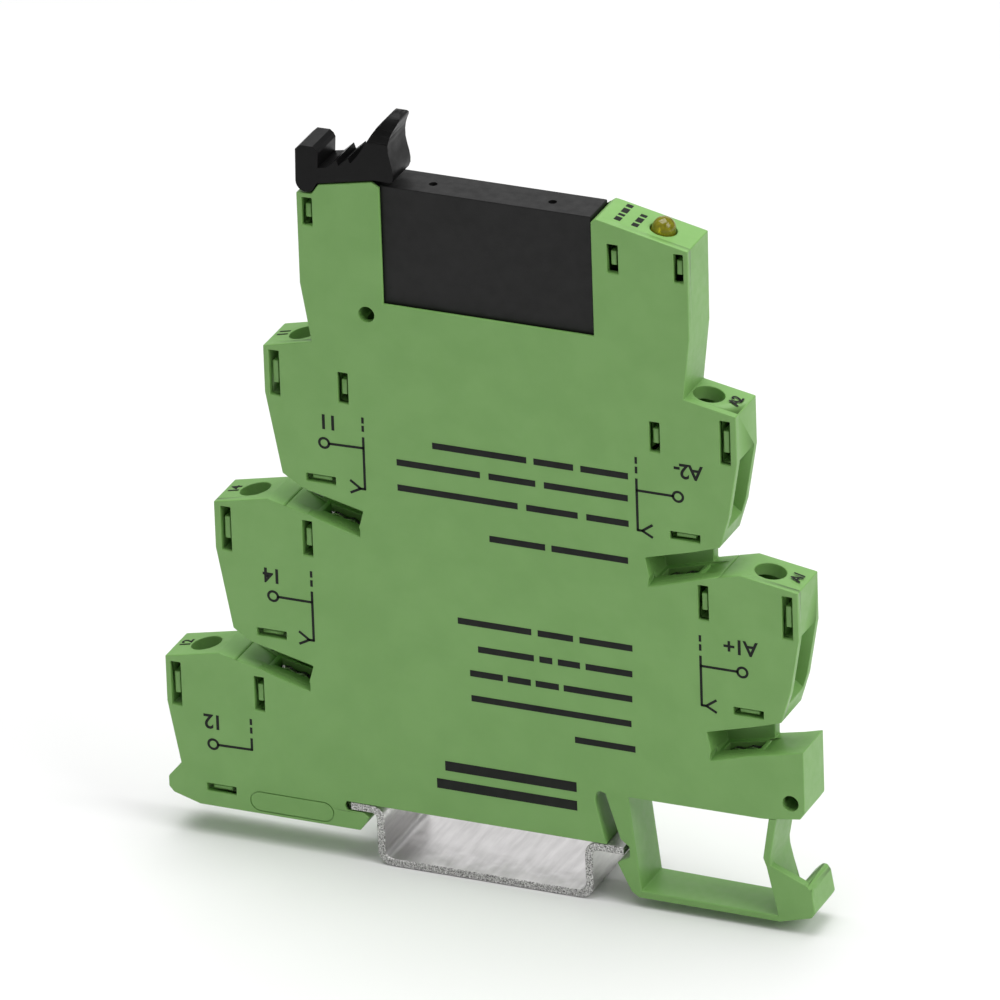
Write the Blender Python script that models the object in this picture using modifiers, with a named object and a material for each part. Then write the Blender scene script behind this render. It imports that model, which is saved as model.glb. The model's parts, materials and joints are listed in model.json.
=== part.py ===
"""Plug-in relay module, 6.2 mm wide, for a standard 35 mm rail.

Two green shells hold five screw terminals, their busbars, a small circuit board and the
socket contacts of a slim relay. A black lever lifts the relay, and a sprung foot holds the rail.

Sizes are in millimetres and turn into metres where meshes are made.
X runs along the module, Y through its thickness (the cover is at -Y) and Z is up.
The origin is on the face that rests on the rail, at the rail's centre line.
"""
import math

import bmesh
import bpy
from mathutils import Matrix, Vector

MM = 0.001

# Housing
HALF_WIDTH = 3.1                # half of the module's 6.2 mm
COVER_THICKNESS = 0.8
SHELL_GAP = 0.1                 # between cover and base
BACK_WALL = 0.8
POCKET_WALL = 0.5               # wall behind and beside the relay
COVER_FRONT = -HALF_WIDTH
COVER_BACK = COVER_FRONT + COVER_THICKNESS
BASE_FRONT = COVER_BACK + SHELL_GAP
BASE_INSIDE = HALF_WIDTH - BACK_WALL
FLOOR_STEP = 0.05               # spaces that run into each other have floors at different depths

# Terminal tiers: each one is further out and lower than the one above it
TIER_OUT = 7.03
TIER_DROP = 20.93
RIGHT_TIER_OUT = 7.0
RIGHT_TIER_DROP = 21.0
LEFT_BORE = (-21.9, 58.0)       # middle of the top screw bore where it opens
RIGHT_BORE = (27.9, 58.1)
TILT = math.radians(12.5)       # screws lean outwards by this much
BORE_RADIUS = 1.85
BORE_TO_CLAMP = 12.3            # along the screw's axis, bore mouth to clamp origin
CLAMP_TRAVEL = 2.0
BUSBAR_THICKNESS = 0.6

# Rail: 35 mm wide, flanges 1 mm thick
RAIL_HALF = 17.5
RAIL_FLANGE = 1.0
RAIL_PLAY = 0.15

# Release foot, which slides out along +X to let go of the rail
FOOT_TRAVEL = 1.6
FOOT_TOP = 6.4

# Relay: 28 x 5 x 15 mm, standing in its pocket
RELAY_LEFT = -12.9
RELAY_LENGTH = 28.0
RELAY_RIGHT = RELAY_LEFT + RELAY_LENGTH
RELAY_HALF = 2.5
RELAY_FOOT = 64.1
RELAY_TOP = RELAY_FOOT + 15.0
PIN_END = 60.5
PIN_X = {"normally_closed": -11.5, "common": -6.46, "normally_open": -1.42,
         "coil_plus": 9.92, "coil_minus": 13.7}
POCKET_GAP = 0.15

# Lever that lifts the relay
PIVOT = (-19.6, 78.45)
PIVOT_RADIUS = 0.7
KNUCKLE_RADIUS = 1.25
EAR_HALF = 0.95
LEVER_BACK = 2.0                # the lever is flush in front and set in behind
PIN_ENDS = (-2.3, 1.5)

# Relay works
ARMATURE_PIVOT = (-1.75, 67.0)
SPRING_ROOT = (-6.75, 66.5)
CARD_HEIGHT = 76.5

PARTS = "plug_in_relay"
CUTTERS = "cutters"


# ---------------------------------------------------------------- tools

def clear_scene():
    for item in list(bpy.data.objects):
        bpy.data.objects.remove(item, do_unlink=True)
    for name in (PARTS, CUTTERS):
        collection = bpy.data.collections.new(name)
        bpy.context.scene.collection.children.link(collection)


def material(name, color, roughness, metallic=0.0):
    made = bpy.data.materials.new(name)
    made.use_nodes = True
    shader = made.node_tree.nodes["Principled BSDF"]
    shader.inputs["Base Color"].default_value = (*color, 1.0)
    shader.inputs["Roughness"].default_value = roughness
    shader.inputs["Metallic"].default_value = metallic
    made.diffuse_color = (*color, 1.0)
    return made


def add(name, mesh, look=None, collection=PARTS):
    piece = bpy.data.objects.new(name, mesh)
    bpy.data.collections[collection].objects.link(piece)
    if look is not None:
        mesh.materials.append(look)
    return piece


def tidy(shape):
    """Weld the caps, turn the faces outwards and give the bmesh back as a mesh."""
    bmesh.ops.remove_doubles(shape, verts=shape.verts, dist=0.001 * MM)
    bmesh.ops.recalc_face_normals(shape, faces=shape.faces)
    mesh = bpy.data.meshes.new("shape")
    shape.to_mesh(mesh)
    shape.free()
    return mesh


def extruded(loops, low, high, along="Y"):
    """A flat outline, with any further loops as holes or islands, from low to high.

    Loops are (x, z) pairs when it is extruded along Y, and (y, z) pairs along X.
    """
    curve = bpy.data.curves.new("outline", "CURVE")
    curve.dimensions = "2D"
    curve.fill_mode = "BOTH"
    curve.extrude = (high - low) / 2 * MM
    for loop in loops:
        spline = curve.splines.new("POLY")
        spline.points.add(len(loop) - 1)
        for point, (across, up) in zip(spline.points, loop):
            point.co = (across * MM, up * MM, 0, 1)
        spline.use_cyclic_u = True
    holder = bpy.data.objects.new("outline", curve)
    bpy.context.scene.collection.objects.link(holder)
    middle = (low + high) / 2 * MM
    if along == "Y":
        holder.matrix_world = Matrix.Translation((0, middle, 0)) @ Matrix.Rotation(math.pi / 2, 4, "X")
    else:
        stand = Matrix(((0, 0, 1), (1, 0, 0), (0, 1, 0))).to_4x4()
        holder.matrix_world = Matrix.Translation((middle, 0, 0)) @ stand
    bpy.context.view_layer.update()
    graph = bpy.context.evaluated_depsgraph_get()
    flat = bpy.data.meshes.new_from_object(holder.evaluated_get(graph))
    flat.transform(holder.matrix_world)
    bpy.data.objects.remove(holder, do_unlink=True)
    shape = bmesh.new()
    shape.from_mesh(flat)
    bpy.data.meshes.remove(flat)
    return tidy(shape)


def boxes(limits):
    """One mesh with a box for each ((x, x), (y, y), (z, z))."""
    shape = bmesh.new()
    for spans in limits:
        middle = [(low + high) / 2 * MM for low, high in spans]
        size = [(high - low) * MM for low, high in spans]
        place = Matrix.Translation(middle) @ Matrix.Diagonal((*size, 1.0))
        bmesh.ops.create_cube(shape, size=1.0, matrix=place)
    return tidy(shape)


def rod(start, end, radius, sides=20):
    """A round bar between two points."""
    first = Vector(start) * MM
    last = Vector(end) * MM
    span = last - first
    turn = Vector((0, 0, 1)).rotation_difference(span.normalized()).to_matrix().to_4x4()
    shape = bmesh.new()
    bmesh.ops.create_cone(shape, cap_ends=True, segments=sides, radius1=radius * MM,
                          radius2=radius * MM, depth=span.length,
                          matrix=Matrix.Translation((first + last) / 2) @ turn)
    return tidy(shape)


def combine(target, mesh, operation, name):
    """Join the mesh to the target, or cut it away."""
    tool = add(f"{target.name}_{name}", mesh, collection=CUTTERS)
    tool.display_type = "WIRE"
    tool.hide_render = True
    tool.matrix_world = target.matrix_world.copy()
    step = target.modifiers.new(name, "BOOLEAN")
    step.operation = operation
    step.solver = "EXACT"
    step.object = tool


def cut(target, mesh, name):
    combine(target, mesh, "DIFFERENCE", name)


def join(target, mesh, name):
    combine(target, mesh, "UNION", name)


def move_origin(piece, point):
    """Put the object's origin at (x, z) on its joint's axis, and leave the shape in place."""
    place = Vector((point[0], 0, point[1])) * MM
    piece.data.transform(Matrix.Translation(-place))
    piece.location = place
    bpy.context.view_layer.update()
    for step in piece.modifiers:
        step.object.data.transform(Matrix.Translation(-place))
        step.object.location = place


def round_edges(piece, width):
    step = piece.modifiers.new("rounded", "BEVEL")
    step.width = width * MM
    step.segments = 1
    step.limit_method = "ANGLE"
    step.angle_limit = math.radians(40)


def arc(middle, radius, start, end, count):
    """Points on an arc, from and to angles in degrees."""
    angles = [math.radians(start + (end - start) * step / count) for step in range(count + 1)]
    return [(middle[0] + radius * math.cos(a), middle[1] + radius * math.sin(a)) for a in angles]


def ribbon(path, width):
    """The outline of a strip of constant width along a path, with mitred corners."""
    sides = []
    points = [Vector(point) for point in path]
    for index, point in enumerate(points):
        before = (point - points[index - 1]).normalized() if index else None
        after = (points[index + 1] - point).normalized() if index + 1 < len(points) else None
        directions = [way for way in (before, after) if way is not None]
        normals = [Vector((-way.y, way.x)) for way in directions]
        mitre = sum(normals, Vector((0, 0))).normalized()
        reach = width / 2 / mitre.dot(normals[0])
        sides.append((point + mitre * reach, point - mitre * reach))
    return [tuple(left) for left, _ in sides] + [tuple(right) for _, right in reversed(sides)]


def rectangle(middle, width, height):
    x, z = middle
    return [(x - width / 2, z - height / 2), (x + width / 2, z - height / 2),
            (x + width / 2, z + height / 2), (x - width / 2, z + height / 2)]


def shifted(points, x, z):
    return [(px + x, pz + z) for px, pz in points]


# ---------------------------------------------------------------- places

def left_shift(tier):
    return (-TIER_OUT * tier, -TIER_DROP * tier)


def right_shift(tier):
    return (RIGHT_TIER_OUT * tier, -RIGHT_TIER_DROP * tier)


def clamp_frame(side, tier):
    """Origin, inward direction and screw direction of a terminal. Side is -1 left, +1 right."""
    bore = LEFT_BORE if side < 0 else RIGHT_BORE
    shift = left_shift(tier) if side < 0 else right_shift(tier)
    up = Vector((side * math.sin(TILT), math.cos(TILT)))
    inward = Vector((-side * math.cos(TILT), math.sin(TILT)))
    mouth = Vector(bore) + Vector(shift)
    return mouth - up * BORE_TO_CLAMP, inward, up


def clamp_points(side, tier, points):
    """Points given as (inward, up the screw) in a terminal, as (x, z)."""
    origin, inward, up = clamp_frame(side, tier)
    return [tuple(origin + inward * u + up * w) for u, w in points]


TERMINALS = {"common": (-1, 0), "normally_open": (-1, 1), "normally_closed": (-1, 2),
             "coil_minus": (1, 0), "coil_plus": (1, 1)}

# Slots for jumper links between tiers: the corner where each one ends, and how it runs
LEFT_SLOT = {"end_top": (-14.1, 37.8), "end_low": (-14.9, 34.9)}
RIGHT_SLOT = {"end_top": (20.7, 37.6), "end_low": (21.4, 34.5)}

# Windows where the base's catches show in the cover: middle, width, height
TALL_WINDOWS = [((-19.6, 74.7), 1.25, 3.5), ((17.8, 74.5), 1.35, 3.6), ((25.8, 74.5), 1.15, 3.6),
                ((-24.5, 53.7), 1.25, 5.7), ((-16.0, 53.1), 1.25, 3.9),
                ((-31.4, 32.8), 1.25, 5.6), ((-21.2, 33.2), 1.25, 4.5),
                ((-38.6, 11.7), 1.25, 5.6), ((-28.1, 12.1), 1.25, 4.4),
                ((30.9, 53.6), 1.25, 5.5), ((22.3, 53.0), 1.25, 3.8),
                ((37.95, 32.75), 1.25, 5.4), ((27.7, 33.0), 1.25, 4.4)]
WIDE_WINDOWS = [((-19.2, 41.1), 3.7, 1.0), ((-26.2, 20.2), 3.7, 1.0), ((-33.4, -1.1), 3.7, 1.0),
                ((25.7, 41.0), 3.7, 1.0), ((32.9, 19.9), 3.7, 1.0)]
CATCH_WIDTH = 0.7
CATCH_WIDE = 0.5
CATCH_RECESS = 0.5
ROUND_HOLES = [(-12.7, 62.9), (37.8, 9.2)]


def body_outline():
    """The module seen from the cover side, anticlockwise from the relay pocket's left wall."""
    left_tower = [(-10.6, 79.0), (-11.5, 79.6), (-18.1, 78.3), (-18.95, 77.05), (-20.85, 77.0),
                  (-20.85, 65.5), (-19.7, 58.4)]
    left_tier = [(-25.8, 57.0), (-25.8, 51.2), (-24.0, 41.1), (-21.8, 39.7),
                 LEFT_SLOT["end_top"], LEFT_SLOT["end_low"], (-26.0, 37.55)]
    low_left = shifted([(-25.8, 57.0), (-25.8, 51.2)], *left_shift(2))
    foot = [(-38.4, 1.4), (-40.1, -0.5), (-40.1, -1.8), (-39.5, -2.5), (-36.2, -3.5), (-16.0, -3.5),
            (-14.8, -1.75), (-15.5, -RAIL_FLANGE - RAIL_PLAY), (-RAIL_HALF - 0.1, -RAIL_FLANGE - RAIL_PLAY),
            (-RAIL_HALF - 0.35, -0.52), (-RAIL_HALF - 0.1, 0.0)]
    flex_slit = [(14.9, 0.0), (14.6, 1.1), (13.6, 5.5), (13.75, 6.4), (14.2, 6.75), (14.75, 6.6)]
    low_right = [(34.9, 6.7), (38.9, 7.3), (39.5, 8.2), (39.5, 16.0)]
    slot_floor = (37.3, 15.4)
    right_low_slot = shifted([RIGHT_SLOT["end_low"], RIGHT_SLOT["end_top"]], *right_shift(1))
    right_tier = [(29.9, 40.3), (31.1, 44.2), (32.3, 51.2), (32.3, 57.1)]
    low_tier = shifted([(26.5, 39.2)] + right_tier + [(25.2, 37.0 + 21.4)], *right_shift(1))
    ridge = (32.2, 37.25)
    right_tower = [(26.0, 58.3), (26.9, 65.9), (27.0, 76.8), (16.5, 79.1), (15.9, 79.2), (15.25, 78.7)]
    points = left_tower + left_tier + shifted(left_tier, *left_shift(1)) + low_left + foot + flex_slit
    points += low_right + [slot_floor] + right_low_slot + low_tier[:-1] + [ridge]
    points += [RIGHT_SLOT["end_low"], RIGHT_SLOT["end_top"], (26.5, 39.2)] + right_tier + right_tower
    return points


def pocket_outline(top, right_gap=POCKET_GAP):
    left = RELAY_LEFT - POCKET_GAP
    right = RELAY_RIGHT + right_gap
    bottom = RELAY_FOOT - POCKET_GAP
    return [(left, bottom), (right, bottom), (right, top), (left, top)]


# ---------------------------------------------------------------- housing

def cavities():
    """Outlines of the spaces inside the base, open towards the cover."""
    middle = [(-13.1, 62.9), (19.6, 62.9), (19.6, 32.6), (26.3, 32.6), (26.3, 8.1), (12.4, 8.1),
              (11.9, 1.0), (-27.0, 1.0), (-27.0, 11.0), (-20.0, 12.4), (-20.0, 32.6), (-13.1, 32.6)]
    led_tower = [(16.2, 61.0), (16.2, 77.9), (26.1, 75.8), (26.0, 66.0), (25.1, 60.0), (18.0, 60.0)]
    lever_tower = [(-19.9, 66.2), (-19.9, 75.9), (-15.9, 75.9), (-15.9, 61.5), (-18.9, 60.3)]
    end_block = [(30.2, 8.5), (38.6, 9.0), (38.6, 14.7), (34.6, 13.6), (30.2, 10.4)]
    return {"middle": middle, "led_tower": led_tower, "lever_tower": lever_tower, "end_block": end_block}


def terminal_cavity(side, tier):
    """Wire funnel, clamp chamber, screw chamber and the way in for the busbar."""
    return clamp_points(side, tier, [
        (-7.0, 8.5), (-3.2, 2.9), (-2.8, 2.9), (-2.8, 8.4), (-2.2, 8.4), (-2.2, 10.3), (2.2, 10.3),
        (2.2, 8.4), (2.8, 8.4), (2.8, 4.2), (7.6, 4.2), (7.6, -1.8), (-2.8, -1.8), (-2.8, -0.8),
        (-7.0, -3.0)])


def jumper_cavity(side, tier):
    """The space under a jumper slot's floor, where the busbar's blade lies."""
    if side < 0:
        return shifted([(-20.6, 35.2), (-14.6, 33.8), (-12.9, 33.8), (-12.9, 32.4), (-20.6, 32.4)],
                       *left_shift(tier))
    return shifted([(27.2, 35.0), (21.1, 33.4), (19.1, 33.4), (19.1, 32.0), (27.2, 32.0)], *right_shift(tier))


def jumper_slot_box(side, tier):
    """The narrow opening in the floor of a jumper slot, down to the blade."""
    x, z = left_shift(tier) if side < 0 else right_shift(tier)
    low, high = (-19.9, -15.3) if side < 0 else (21.8, 26.4)
    return ((low + x, high + x), (-1.0, 1.0), (33.0 + z, 36.6 + z))


def slot_back(side, tier):
    """The wall that closes the deep half of a jumper slot at the back."""
    if side < 0:
        return shifted([(-21.0, 36.05), (-14.4, 34.45), (-13.7, 38.0), (-21.0, 39.8)], *left_shift(tier))
    outline = [(20.9, 34.1), (27.2, 35.65), (27.2, 39.75), (26.5, 39.5), (20.3, 37.8)]
    return shifted(outline, *right_shift(tier))


def window_rectangles():
    return [rectangle(middle, width, height) for middle, width, height in TALL_WINDOWS + WIDE_WINDOWS]


def catch_rectangles():
    tall = [rectangle(middle, CATCH_WIDTH, height / 2) for middle, _, height in TALL_WINDOWS]
    wide = [rectangle(middle, width * 0.65, CATCH_WIDE) for middle, width, _ in WIDE_WINDOWS]
    return tall + wide


def lever_ear():
    """The ear between the lever's cheeks, which carries its pin."""
    x, z = PIVOT
    return arc(PIVOT, 1.1, 0, 180, 10) + [(x - 1.0, z - 2.2), (x + 0.9, z - 2.2)]


def led_line():
    """Where the lamp's axis crosses the sloping top, and the way it points."""
    slope = math.atan2(79.1 - 76.8, 27.0 - 16.5)
    return Vector((22.9, 77.7)), Vector((math.sin(slope), math.cos(slope)))


def housing_base(look):
    base = add("housing_base", extruded([body_outline()], BASE_FRONT, HALF_WIDTH), look)
    inside = BASE_INSIDE
    for name, outline in cavities().items():
        floor = inside if name == "middle" else inside - FLOOR_STEP
        cut(base, extruded([outline], BASE_FRONT - 0.4, floor), name)
    for name, (side, tier) in TERMINALS.items():
        chamber = extruded([terminal_cavity(side, tier)], BASE_FRONT - 0.4, inside - 2 * FLOOR_STEP)
        cut(base, chamber, f"{name}_chamber")
        origin, _, up = clamp_frame(side, tier)
        low = origin + up * 9.8
        high = origin + up * (BORE_TO_CLAMP + 2.0)
        cut(base, rod((low.x, 0, low.y), (high.x, 0, high.y), BORE_RADIUS), f"{name}_bore")
    for side in (-1, 1):
        for tier in (0, 1):
            label = f"jumper_{'left' if side < 0 else 'right'}_{tier}"
            hollow = extruded([jumper_cavity(side, tier)], BASE_FRONT - 0.4, inside - 3 * FLOOR_STEP)
            cut(base, hollow, label)
    slots = [jumper_slot_box(side, tier) for side in (-1, 1) for tier in (0, 1)]
    cut(base, boxes(slots), "jumper_slots")
    for side in (-1, 1):
        for tier in (0, 1):
            label = f"slot_back_{'left' if side < 0 else 'right'}_{tier}"
            join(base, extruded([slot_back(side, tier)], 1.6, HALF_WIDTH - 0.05), label)
    pocket = extruded([pocket_outline(RELAY_TOP + 3)], BASE_FRONT - 0.4, HALF_WIDTH - POCKET_WALL)
    cut(base, pocket, "relay_pocket")
    above = (RELAY_TOP - 0.9, RELAY_TOP + 3.4)
    cut(base, boxes([((-10.6, RELAY_RIGHT), (HALF_WIDTH - 0.8, HALF_WIDTH + 0.4), above)]), "pocket_back")
    pins = [((x - 0.75, x + 0.75), (-0.55, 0.55), (62.5, 64.3)) for x in PIN_X.values()]
    cut(base, boxes(pins), "pin_holes")
    cut(base, boxes([((-15.3, -12.9), (-1.25, 1.25), (74.4, 81.0))]), "lever_slot")
    crossing, way = led_line()
    low = crossing - way * 3.0
    high = crossing + way * 2.0
    cut(base, rod((low.x, 0, low.y), (high.x, 0, high.y), 1.6), "lamp_hole")
    cut(base, extruded(window_rectangles(), BASE_FRONT - 0.4, 0.6), "catch_pockets")
    for number, (x, z) in enumerate(ROUND_HOLES):
        cut(base, rod((x, BASE_FRONT - 0.4, z), (x, 0.9, z), 1.0, 16), f"round_pocket_{number}")
    join(base, extruded(catch_rectangles(), COVER_FRONT + CATCH_RECESS, inside + 0.3), "catches")
    ear = extruded([lever_ear()], -EAR_HALF, EAR_HALF)
    join(base, ear, "lever_ear")
    cut(base, rod((PIVOT[0], -2, PIVOT[1]), (PIVOT[0], 2, PIVOT[1]), PIVOT_RADIUS + 0.1, 24), "pin_bore")
    return base


def housing_cover(look):
    window_right = (15.25, 64.5)
    window_left = (-10.6, 64.5)
    loop = body_outline() + [window_right, window_left]
    holes = window_rectangles() + [arc(hole, 1.0, 0, 337.5, 15) for hole in ROUND_HOLES]
    cover = add("housing_cover", extruded([loop] + holes, COVER_FRONT, COVER_BACK), look)
    recess = pocket_outline(RELAY_TOP + 3, right_gap=0.08)
    cut(cover, extruded([recess], COVER_FRONT + POCKET_WALL, COVER_BACK + 0.4), "relay_recess")
    return cover


def rail_release_foot(look):
    """A leg, a bar and a strut with a hook. It springs out along +X to free the rail."""
    catch = RAIL_HALF + 0.15
    under = -RAIL_FLANGE - RAIL_PLAY
    outer = [(14.85, FOOT_TOP), (16.6, 0.95), (catch, 0.15), (catch, under), (16.1, -2.1), (17.8, -5.6),
             (18.7, -6.2), (36.1, -6.3), (40.0, -5.2), (40.5, -4.4), (40.1, -1.9), (39.6, -1.2),
             (39.0, -1.2), (38.2, -2.0), (36.9, -4.1), (36.1, -3.9), (35.15, 0.8), (35.1, 1.8),
             (36.0, FOOT_TOP), (35.0, FOOT_TOP), (34.2, 1.6), (34.6, 0.5), (35.9, -5.5), (19.1, -5.25),
             (17.75, FOOT_TOP)]
    foot = add("rail_release_foot", extruded([outer], -HALF_WIDTH, HALF_WIDTH), look)
    gusset = [(34.8, 0.95), (39.1, -0.9), (40.2, -1.8), (40.3, -4.6), (36.0, -4.9)]
    join(foot, extruded([gusset], -HALF_WIDTH, -HALF_WIDTH + 1.1), "gusset")
    return foot


def ejector_lever(look):
    """The lever: cheeks round the ear, a finger tab, and a claw in the relay's notch."""
    under = arc(PIVOT, KNUCKLE_RADIUS, 180, 310, 9)
    finger_face = [(-9.0, 79.85), (-8.78, 80.4), (-8.75, 81.0), (-8.87, 81.8), (-9.1, 82.7),
                   (-9.27, 83.6), (-9.27, 84.5), (-9.1, 85.3), (-8.8, 86.05), (-8.42, 86.75)]
    tip = [(-8.22, 87.25), (-8.3, 87.55), (-8.6, 87.8), (-9.05, 87.86), (-9.5, 87.66)]
    slope = [(-10.2, 86.95), (-10.75, 86.3), (-11.3, 85.5), (-12.0, 84.35), (-12.7, 83.2), (-13.35, 82.3),
             (-14.0, 81.55)]
    ridges = [(-14.25, 82.15), (-15.45, 81.05), (-15.7, 81.75), (-16.95, 80.6)]
    post = [(-18.05, 80.4), (-17.95, 82.15), (-18.15, 82.6), (-18.6, 82.97), (-20.15, 82.95),
            (-20.75, 82.4)]
    outline = under + [(-18.25, 78.45), (-11.2, 79.9)] + finger_face + tip + slope + ridges + post
    lever = add("ejector_lever", extruded([outline], -HALF_WIDTH, LEVER_BACK), look)
    middle, half = (LEVER_BACK - HALF_WIDTH) / 2, (LEVER_BACK + HALF_WIDTH) / 2
    for side in (-1, 1):
        turns = [math.radians(degrees) for degrees in range(8, 91, 6)]
        corner = [(middle + side * half * math.cos(a), 83.9 + 3.95 * math.sin(a)) for a in turns]
        corner += [(middle, 89.0), (middle + side * 4.0, 89.0), (middle + side * 4.0, 84.4)]
        cut(lever, extruded([corner], -15.0, -6.0, along="X"), f"tip_corner_{(side + 1) // 2}")
    x, z = PIVOT
    ear_slot = [((x - 1.6, x + 1.4), (-EAR_HALF - 0.2, EAR_HALF + 0.2), (z - 1.6, z + 1.45))]
    cut(lever, boxes(ear_slot), "ear_slot")
    claw = [(-14.45, 80.4), (-14.45, 75.5), (-13.6, 75.15), (-12.35, 75.5), (-12.2, 75.95),
            (-13.4, 76.5), (-13.5, 80.4)]
    join(lever, extruded([claw], -1.0, 1.0), "claw")
    ends = [(x, y, z) for y in (PIN_ENDS[0] - 0.15, PIN_ENDS[1] + 0.15)]
    cut(lever, rod(*ends, PIVOT_RADIUS + 0.1, 24), "pin_bore")
    move_origin(lever, PIVOT)
    return lever


def lever_pivot_pin(look):
    x, z = PIVOT
    return add("lever_pivot_pin", rod((x, PIN_ENDS[0], z), (x, PIN_ENDS[1], z), PIVOT_RADIUS, 24), look)


# ---------------------------------------------------------------- terminals

def terminal_screw(name, side, tier, look):
    """Slotted screw: a shank that bears on the busbar and a head under the bore."""
    origin, _, up = clamp_frame(side, tier)
    screw = add(name, rod((0, 0, 3.15), (0, 0, 8.4), 1.15, 14), look)
    screw.location = Vector((origin.x, 0, origin.y)) * MM
    screw.rotation_euler = (0, side * TILT, 0)
    bpy.context.view_layer.update()
    join(screw, rod((0, 0, 8.2), (0, 0, 9.9), 1.7, 18), "head")
    cut(screw, boxes([((-2.0, 2.0), (-0.25, 0.25), (9.1, 10.5))]), "slot")
    return screw


def clamp_sleeve(name, side, tier, look):
    """Box clamp: a frame round busbar and wire, threaded on the screw."""
    origin, _, up = clamp_frame(side, tier)
    outer = [(-2.0, -1.4), (2.0, -1.4), (2.0, 5.8), (-2.0, 5.8)]
    inner = [(-1.55, -0.6), (1.55, -0.6), (1.55, 4.6), (-1.55, 4.6)]
    sleeve = add(name, extruded([outer, inner], -2.2, 2.2, along="X"), look)
    sleeve.location = Vector((origin.x, 0, origin.y)) * MM
    sleeve.rotation_euler = (0, side * TILT, 0)
    bpy.context.view_layer.update()
    cut(sleeve, rod((0, 0, 4.0), (0, 0, 6.5), 1.3, 14), "thread")
    return sleeve


def busbar(name, side, tier, strips, look, layer=0.0):
    """A tongue through the clamp and flat strips from it, each strip a path and a width."""
    low = layer - BUSBAR_THICKNESS / 2
    high = layer + BUSBAR_THICKNESS / 2
    tongue = clamp_points(side, tier, [(-1.9, 2.2), (6.6, 2.2), (6.6, 3.0), (-1.9, 3.0)])
    bar = add(name, extruded([tongue], -1.4, 1.4), look)
    for number, (path, width) in enumerate(strips):
        join(bar, extruded([ribbon(path, width)], low, high), f"strip_{number}")
    return bar


def busbars(look):
    busbar("busbar_common", -1, 0, [
        ([(-13.8, 49.75), (-12.2, 49.9), (-9.2, 54.5), (-6.46, 56.6), (-6.46, 58.3)], 1.2),
        ([(-12.2, 50.3), (-12.2, 33.1), (-15.0, 33.15), (-19.4, 34.35)], 1.0)], look)
    busbar("busbar_normally_open", -1, 1, [
        ([(-20.9, 28.8), (-10.5, 29.4), (-4.0, 36.0), (-1.42, 50.0), (-1.42, 58.3)], 1.2),
        ([(-19.2, 29.3), (-19.2, 11.9), (-22.0, 12.2), (-26.4, 13.3)], 1.0)], look)
    busbar("busbar_normally_closed", -1, 2, [
        ([(-28.0, 7.85), (-17.0, 8.2), (-17.0, 28.2), (-11.5, 31.2), (-11.5, 62.2)], 1.2)], look, layer=1.1)
    busbar("busbar_coil_minus", 1, 0, [
        ([(19.8, 49.75), (14.6, 50.2)], 1.2),
        ([(18.6, 50.3), (18.6, 32.8), (21.2, 32.85), (26.0, 34.0)], 1.0)], look)
    busbar("busbar_coil_plus", 1, 1, [
        ([(26.8, 28.8), (22.0, 29.2), (17.6, 31.4)], 1.2),
        ([(25.6, 29.4), (25.6, 11.6), (28.2, 11.65), (33.0, 12.8)], 1.0)], look)


def socket_contact(name, x, look):
    """A sprung fork that grips one relay pin from both sides."""
    fork = [(-1.3, 58.6), (1.3, 58.6), (1.3, 62.4), (1.0, 62.6), (0.62, 61.6), (0.62, 59.6),
            (-0.62, 59.6), (-0.62, 61.6), (-1.0, 62.6), (-1.3, 62.4)]
    return add(name, extruded([shifted(fork, x, 0)], -0.55, 0.55), look)


# ---------------------------------------------------------------- circuit board

def circuit_board(looks):
    board = [(-0.5, 30.0), (19.0, 30.0), (19.0, 60.8), (24.6, 60.8), (25.2, 66.5), (25.2, 72.4),
             (17.0, 72.4), (17.0, 58.0), (-0.5, 58.0)]
    add("circuit_board", extruded([board], 1.2, 2.15), looks["board"])
    rectifier = add("bridge_rectifier", boxes([((7.4, 12.4), (-0.9, 1.1), (50.5, 55.2))]), looks["resin"])
    round_edges(rectifier, 0.25)
    add("freewheel_diode", rod((15.4, 0.1, 36.0), (15.4, 0.1, 40.6), 0.95, 16), looks["resin"])
    resistor = add("series_resistor", rod((8.2, 0.1, 34.5), (8.2, 0.1, 40.5), 0.8, 16), looks["resistor"])
    for number, z in enumerate((34.9, 40.1)):
        join(resistor, rod((8.2, 0.1, z - 0.6), (8.2, 0.1, z + 0.6), 0.95, 16), f"end_cap_{number}")


def status_led(looks):
    """The lamp: a collar, a round body and a domed top that stands proud of the housing."""
    crossing, way = led_line()
    radius = 1.45
    collar = 1.75
    points = [(0, 0.1 + radius)]
    for degrees in range(75, -1, -15):
        angle = math.radians(degrees)
        points.append((radius * math.cos(angle), 0.1 + radius * math.sin(angle)))
    points += [(radius, -3.2), (collar, -3.2), (collar, -3.8), (0, -3.8)]
    mesh = bpy.data.meshes.new("status_led")
    edges = [(number, number + 1) for number in range(len(points) - 1)]
    mesh.from_pydata([(r * MM, 0, height * MM) for r, height in points], edges, [])
    lamp = add("status_led", mesh, looks["lamp"])
    turn = lamp.modifiers.new("turn", "SCREW")
    turn.angle = math.tau
    turn.steps = 20
    turn.render_steps = 20
    turn.use_merge_vertices = True
    turn.merge_threshold = 0.001 * MM
    turn.use_smooth_shade = True
    lamp.location = Vector((crossing.x, 0, crossing.y)) * MM
    lamp.rotation_euler = (0, math.atan2(way.x, way.y), 0)
    for name, x in (("led_lead_plus", 21.0), ("led_lead_minus", 23.0)):
        add(name, boxes([((x, x + 0.5), (0.55, 1.05), (66.0, 73.2))]), looks["tin"])


# ---------------------------------------------------------------- relay

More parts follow.
